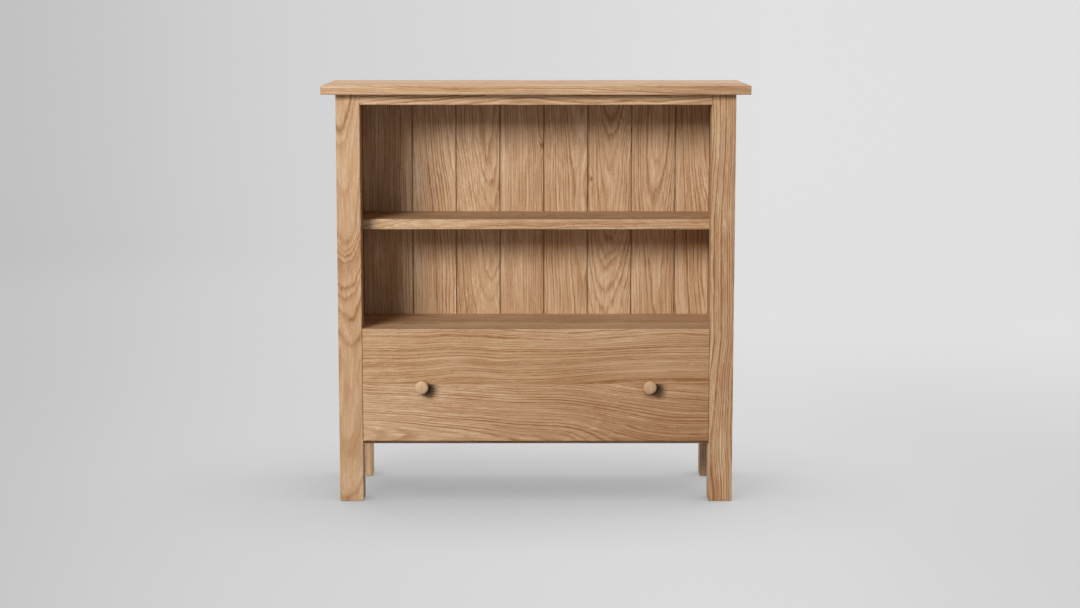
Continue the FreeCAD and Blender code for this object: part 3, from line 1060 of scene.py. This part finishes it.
@dataclass
class BackWall:
    """The upright tongue-and-groove boards, from left to right."""

    cuts: tuple[Oak, ...] = (
        Oak(across=85.0, depth=44.0, seed=67),
        Oak(across=60.0, depth=50.0, skew=0.04, seed=244, wander=11.0),
        Oak(across=22.0, depth=50.0, lean=0.05, seed=205, wander=13.0),
        Oak(across=95.0, depth=60.0, lean=0.02, seed=79, contrast=0.75, knots=(Knot(42.0, 255.0),)),
        Oak(across=30.0, depth=36.0, lean=0.022, seed=234, wander=10.0),
        Oak(across=-3.0, depth=58.0, lean=0.07, seed=213, wander=12.0, tone=1.03,
            knots=(Knot(-43.0, 180.0, radius=2.1),)),
        Oak(across=6.0, depth=40.0, lean=0.035, seed=221, wander=10.0, tone=1.05),
        Oak(across=60.0, depth=50.0, skew=0.04, seed=241, wander=11.0, tone=1.06),
    )
    joint: float = 0.2

    def dress(self) -> None:
        """Give each board its cut."""
        for number, oak in enumerate(self.cuts, start=1):
            dress_node(f"back_board_{number}", replace(oak, joint=self.joint))


@dataclass
class HiddenBattens:
    """Kickers, guides, stops and buttons: plainer wood that hardly shows."""

    oak: Oak = Oak(Lay.DEEP_FACING_UP, across=30.0, depth=40.0, lean=0.02, seed=103, tone=1.04,
                   roughness=0.62)
    nodes: tuple[str, ...] = ("left_kicker", "right_kicker", "left_drawer_guide", "right_drawer_guide",
                              "drawer_stops", "top_buttons")

    def dress(self) -> None:
        """Give each batten its cut."""
        for offset, node in enumerate(self.nodes):
            dress_node(node, self.oak.further(offset))


@dataclass
class Drawer:
    """The drawer: its front of two glued boards, its dovetailed box and its bottom panel."""

    upper: Oak = Oak(Lay.LEVEL_FACING_FRONT, across=-96.0, depth=60.0, lean=0.02, skew=0.05, seed=304,
                     tone=0.915, fade=0.03, cast=25.0, wander=14.0, contrast=1.3, streaks=0.7,
                     ripple=0.7, contact=ContactShade())
    lower: Oak = Oak(Lay.LEVEL_FACING_FRONT, across=70.0, depth=52.0, lean=-0.04, skew=-0.06, seed=311,
                     tone=0.91, fade=0.45, cast=32.0, wander=15.0, contrast=1.1, streaks=0.85,
                     ripple=0.7, contact=ContactShade())
    side: Oak = Oak(Lay.DEEP_FACING_SIDE, across=20.0, depth=40.0, lean=0.02, seed=113, tone=1.06,
                    roughness=0.58)
    back: Oak = Oak(Lay.LEVEL_FACING_FRONT, across=20.0, depth=40.0, lean=0.02, seed=127, tone=1.06,
                    roughness=0.58)
    bottom: Oak = Oak(Lay.LEVEL_FACING_UP, lean=0.01, seed=131, stave=88.0, tone=1.04, roughness=0.58)

    def dress(self) -> None:
        """Give each board of the drawer its cut."""
        dress_node("drawer_front_upper", self.upper)
        dress_node("drawer_front_lower", self.lower)
        dress_node("drawer_back", self.back)
        dress_node("drawer_bottom", self.bottom)
        for offset, side in enumerate(SIDES):
            dress_node(f"{side}_drawer_side", self.side.further(offset))


@dataclass
class Knobs:
    """The two turned knobs. Lengths are in mm, and a reach is counted from the drawer front.

    The foot's edge is rounded off by the foot corner, through points that are shares of it, inwards and
    down. The rim rounds off the head from below, and the crown closes it.
    """

    foot_radius: float = 8.5
    foot_reach: float = 3.0
    foot_corner: float = 1.0
    foot_rounding: tuple[tuple[float, float], ...] = ((0.0, 0.8), (0.3, 0.2), (1.0, 0.0))
    neck_radius: float = 6.0
    neck_reach: float = 11.0
    head_radius: float = 14.0
    head_reach: float = 29.5
    rim_width: float = 2.0
    rim_height: float = 3.0
    length: float = 34.0
    neck_steps: int = 9
    rim_steps: int = 4
    crown_steps: int = 14
    oak: Oak = Oak(across=50.0, depth=20.0, lean=0.0, seed=137, ring=2.4, wander=3.0, tone=0.99,
                   contrast=0.15, streaks=0.35, roughness=0.46)

    def outline(self) -> Outline:
        """The turned outline.

        Returns:
            Pairs of radius and reach from the base to the tip, in metres.
        """
        foot_top = (self.foot_radius - self.foot_corner, self.foot_reach)
        neck = (self.neck_radius, self.neck_reach)
        rim = (self.head_radius - self.rim_width, self.head_reach - self.rim_height)
        widest = (self.head_radius, self.head_reach)
        foot = [(self.foot_radius - self.foot_corner * inward, self.foot_reach - self.foot_corner * down)
                for inward, down in self.foot_rounding]
        return in_metres([(self.foot_radius, 0.0), *foot,
                          *curve(foot_top, neck, self.neck_steps, easing_off, steady),
                          *curve(neck, rim, self.neck_steps, gathering, easing_off),
                          *curve(rim, widest, self.rim_steps, easing_off, gathering),
                          *curve(widest, (0.0, self.length), self.crown_steps, gathering, easing_off)])

    def build(self) -> None:
        """Turn a knob in the place of each plain one."""
        for offset, side in enumerate(SIDES):
            middle, seat = middle_of(f"{side}_knob"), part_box(f"{side}_knob")[1].y
            knob = turned(f"turned_knob_{side}", self.outline(), Vector((middle.x, seat, middle.z)))
            dress(knob, self.oak.further(offset).material(f"oak_knob_{side}", middle))
            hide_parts(f"{side}_knob")
            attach(knob, "drawer")
            log.info("%s built: %d faces", knob.name, len(knob.data.polygons))


@dataclass
class Screw:
    """A pan-head screw with a crossed recess, pointing forward from its head's face. Sizes are in mm.

    The head's outline is in shares of its radius and height, from its face down.
    """

    head_radius: float = 4.0
    head_height: float = 2.6
    head_outline: tuple[tuple[float, float], ...] = (
        (0.55, 0.0), (0.82, 0.14), (0.96, 0.42), (1.0, 0.75), (1.0, 1.0))
    shank_radius: float = 2.0
    thread_depth: float = 0.35
    pitch: float = 1.4
    length: float = 30.0
    recess_span: float = 4.6
    recess_width: float = 0.9
    recess_depth: float = 1.5
    segments: int = 24
    smooth_angle: float = 35.0

    def outline(self) -> Outline:
        """The turned outline. The thread is drawn as rings, and the point is as long as the screw is thick.

        Returns:
            Pairs of radius and reach from the head's face to the tip, in metres.
        """
        outline = [(self.head_radius * out, self.head_height * down) for out, down in self.head_outline]
        outline.append((self.shank_radius, self.head_height))
        root = self.shank_radius - self.thread_depth
        reach = self.head_height + self.pitch
        thread_end = self.head_height + self.length - 2 * self.shank_radius
        while reach < thread_end:
            outline += [(self.shank_radius, reach), (root, reach + self.pitch / 2)]
            reach += self.pitch
        outline += [(root, thread_end), (0.0, self.head_height + self.length)]
        return in_metres(outline)

    def build(self) -> bpy.types.Object:
        """Model the screw at the origin.

        Returns:
            The screw, to copy from.
        """
        screw = turned("screw", self.outline(), Vector((0, 0, 0)), self.segments, self.smooth_angle)
        for turn in (0, 90):
            clear_selection()
            bpy.ops.mesh.primitive_cube_add(size=1.0, rotation=(0, math.radians(turn), 0))
            cutter = bpy.context.active_object
            cutter.scale = (self.recess_span * MM, 2 * self.recess_depth * MM, self.recess_width * MM)
            settle(cutter, "recess")
            apply_modifier(screw, "BOOLEAN", object=cutter, operation="DIFFERENCE", solver="EXACT")
            bpy.data.objects.remove(cutter)
        return screw


@dataclass
class Fittings:
    """Shelf pegs and screws. Places follow from the CAD nodes, and lengths are in mm."""

    screw_finish: Plated = Plated()
    peg_finish: Plated = Plated(colour=(0.66, 0.64, 0.60), roughness=0.28)
    knob_screw: Screw = field(default_factory=lambda: Screw(pitch=0.7, length=34.0))
    wood_screw: Screw = field(default_factory=lambda: Screw(shank_radius=1.8))
    short_screw: Screw = field(default_factory=lambda: Screw(
        head_radius=3.5, head_height=2.2, shank_radius=1.6, recess_span=4.0, length=16.0))
    button_tongue: float = 8.0
    button_length: float = 22.0
    button_width: float = 26.0
    bottom_screw_spread: float = 250.0

    def dress(self) -> None:
        """Give the shelf pegs their finish."""
        dress(frame["nodes"]["shelf_pegs"], self.peg_finish.material("nickel_plate"))
        log.info("shelf_pegs dressed")

    def build(self) -> None:
        """Model each kind of screw once and copy it to its places."""
        finish = self.screw_finish.material("zinc_plate")
        upward = (math.radians(-90), 0.0, 0.0)
        for piece in self._drive(self.knob_screw, finish, "knob_screw", "drawer", self._knob_places()):
            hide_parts("knob_screws")
        self._drive(self.wood_screw, finish, "back_screw", "carcase", self._back_places())
        self._drive(self.wood_screw, finish, "button_screw", "carcase", self._button_places(), upward)
        self._drive(self.short_screw, finish, "drawer_bottom_screw", "drawer", self._bottom_places(),
                    upward)

    @staticmethod
    def _drive(kind: Screw, finish: bpy.types.Material, name: str, body: str, places: Sequence[Vector],
               turn: Triple = (0.0, 0.0, 0.0)) -> list[bpy.types.Object]:
        """Copy one kind of screw to each place.

        Args:
            kind: The screw's sizes.
            finish: Its material.
            name: The pieces' name, which gets a number.
            body: The body that they ride on.
            places: Where each head's face lies.
            turn: How the screws are turned from pointing forward, in radians.

        Returns:
            The pieces.
        """
        master = kind.build()
        dress(master, finish)
        made = []
        for number, place in enumerate(places, start=1):
            only(master)
            bpy.ops.object.duplicate(linked=False)
            piece = bpy.context.active_object
            piece.location = place
            piece.rotation_euler = turn
            settle(piece, f"{name}_{number}")
            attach(piece, body)
            made.append(piece)
        bpy.data.objects.remove(master)
        log.info("%d of %s built: %d faces each", len(made), name, len(made[0].data.polygons))
        return made

    def _knob_places(self) -> list[Vector]:
        """Places behind the drawer front, on each knob's axis.

        Returns:
            Where the heads' faces lie.
        """
        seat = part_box("knob_screws")[1].y
        middles = [middle_of(f"{side}_knob") for side in SIDES]
        return [Vector((middle.x, seat, middle.z)) for middle in middles]

    def _back_places(self) -> list[Vector]:
        """Places behind both back rails, on the middle of each back board.

        Returns:
            Where the heads' faces lie.
        """
        places = []
        for rail in ("back_bottom_rail", "back_top_rail"):
            level, behind = middle_of(rail).z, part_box(rail)[1].y + self.wood_screw.head_height * MM
            for number in range(1, len(BackWall.cuts) + 1):
                places.append(Vector((middle_of(f"back_board_{number}").x, behind, level)))
        return places

    def _button_places(self) -> list[Vector]:
        """Places under each of the four buttons.

        Returns:
            Where the heads' faces lie.
        """
        low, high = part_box("top_buttons")
        out = high.x - (self.button_tongue + self.button_length / 2) * MM
        half = self.button_width / 2 * MM
        return [Vector((side * out, y, low.z - self.wood_screw.head_height * MM))
                for side in (-1, 1) for y in (low.y + half, high.y - half)]

    def _bottom_places(self) -> list[Vector]:
        """Places under the drawer's bottom panel, up into the drawer's back.

        Returns:
            Where the heads' faces lie.
        """
        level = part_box("drawer_bottom")[0].z - self.short_screw.head_height * MM
        depth = middle_of("drawer_back").y
        return [Vector((x * self.bottom_screw_spread * MM, depth, level)) for x in (-1, 0, 1)]


@dataclass(frozen=True)
class Softbox:
    """A soft rectangular lamp that points at a target. Lengths are in metres, and the power is in watts."""

    name: str
    place: Triple
    size: Span
    power: float
    target: Triple = (0.0, 0.0, 0.45)

    def build(self) -> None:
        """Hang the lamp and point it at its target."""
        lamp = bpy.data.lights.new(self.name, "AREA")
        lamp.shape = "RECTANGLE"
        lamp.size, lamp.size_y = self.size
        lamp.energy = self.power
        holder = bpy.data.objects.new(self.name, lamp)
        bpy.context.scene.collection.objects.link(holder)
        holder.location = self.place
        aim = Vector(self.target) - Vector(self.place)
        holder.rotation_euler = aim.to_track_quat("-Z", "Y").to_euler()


@dataclass
class Studio:
    """Floor, backdrop, lights and camera. Lengths are in metres, but the lens and its sensor are in mm.

    The grounds are how bright the world looks past the sweep, in front and behind, and each rise is between
    which directions one level gives way to the next. The camera looks down by its pitch, in degrees.
    """

    paper: StudioPaper = StudioPaper()
    floor_width: float = 16.0
    floor_front: float = -8.0
    floor_back: float = 4.6
    sweep_radius: float = 1.6
    sweep_steps: int = 24
    wall_height: float = 6.0
    lamps: tuple[Softbox, ...] = (
        Softbox("key_light", (-2.38, -4.16, 2.35), (1.8, 1.3), 260.0),
        Softbox("top_light", (0.0, 0.25, 3.4), (2.6, 2.6), 60.0, target=(0.0, 0.0, 0.0)),
        Softbox("fill_light", (2.6, -4.2, 1.3), (2.4, 2.4), 24.0),
        Softbox("rear_left_light", (-2.6, 3.0, 2.2), (2.0, 2.0), 75.0),
        Softbox("rear_right_light", (3.4, 1.4, 1.8), (2.0, 2.0), 75.0),
    )
    sky: float = 0.07
    left_ground: Span = (0.485, 0.522)
    right_ground: Span = (0.585, 0.74)
    side_rise: Span = (-0.04, 0.04)
    back_rise: Span = (-0.1, 0.35)
    camera_place: Triple = (0.00877, -4.8013, 1.0736)
    camera_pitch: float = 7.825
    lens: float = 73.14
    sensor: float = 36.0
    sight: float = 100.0

    def build(self) -> None:
        """Set the whole studio up."""
        self._sweep()
        for lamp in self.lamps:
            lamp.build()
        self._world()
        self._camera()
        bpy.context.scene.view_settings.view_transform = "Standard"
        log.info("studio built: %d lamps", len(self.lamps))

    def _sweep(self) -> None:
        """Make a floor that curves up into a wall."""
        clear_selection()
        depth = self.floor_back - self.floor_front
        bpy.ops.mesh.primitive_plane_add(size=1.0, location=(0, self.floor_front + depth / 2, 0))
        sweep = bpy.context.active_object
        sweep.scale = (self.floor_width, depth, 1.0)
        apply_place(sweep)
        bpy.ops.object.mode_set(mode="EDIT")
        bpy.ops.mesh.select_mode(type="EDGE")
        bpy.ops.mesh.select_all(action="DESELECT")
        bpy.ops.object.mode_set(mode="OBJECT")
        for edge in sweep.data.edges:
            ends = [sweep.data.vertices[index].co for index in edge.vertices]
            edge.select = all(end.y > self.floor_back - MM for end in ends)
        bpy.ops.object.mode_set(mode="EDIT")
        for step in range(self.sweep_steps):
            low, high = (math.radians(90) * count / self.sweep_steps for count in (step, step + 1))
            bpy.ops.mesh.extrude_region_move(TRANSFORM_OT_translate={"value": (
                0, self.sweep_radius * (math.sin(high) - math.sin(low)),
                self.sweep_radius * (math.cos(low) - math.cos(high)))})
        bpy.ops.mesh.extrude_region_move(TRANSFORM_OT_translate={"value": (0, 0, self.wall_height)})
        bpy.ops.mesh.select_all(action="SELECT")
        bpy.ops.mesh.normals_make_consistent(inside=False)
        bpy.ops.object.mode_set(mode="OBJECT")
        bpy.ops.object.shade_smooth()
        settle(sweep, "studio_sweep")
        dress(sweep, self.paper.material("studio_paper"))

    def _world(self) -> None:
        """Give a weak even light from all round, and a pale ground where the camera sees past the sweep."""
        world = bpy.data.worlds.new("studio_world")
        bpy.context.scene.world = world
        graph = Graph(world)
        direction = graph.parts(graph.node("ShaderNodeTexCoord", {}, "Generated"))
        seen = graph.node("ShaderNodeLightPath", {}, "Is Camera Ray")
        rightward, backward = direction[0].step(*self.side_rise), direction[1].step(*self.back_rise)
        left, right = (backward.between(*ground) for ground in (self.left_ground, self.right_ground))
        level = seen.between(self.sky, rightward.between(left, right))
        background = graph.node("ShaderNodeBackground", {"Color": (1.0, 1.0, 1.0, 1.0), "Strength": level})
        graph.close(background, "ShaderNodeOutputWorld")

    def _camera(self) -> None:
        """Set up a long lens, a little above the top and looking slightly down."""
        data = bpy.data.cameras.new("camera")
        data.lens = self.lens
        data.sensor_width = self.sensor
        data.clip_end = self.sight
        camera = bpy.data.objects.new("camera", data)
        bpy.context.scene.collection.objects.link(camera)
        camera.location = self.camera_place
        camera.rotation_euler = (math.radians(90 - self.camera_pitch), 0, 0)
        bpy.context.scene.camera = camera


def main() -> None:
    """Build the scene piece by piece."""
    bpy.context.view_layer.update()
    fittings = Fittings()
    for assembly in (Posts(), Boards(), Rails(), BackWall(), HiddenBattens(), Drawer(), fittings):
        assembly.dress()
    for assembly in (Knobs(), fittings, Studio()):
        assembly.build()
    log.info("all pieces done")


if __name__ == "__main__":
    main()
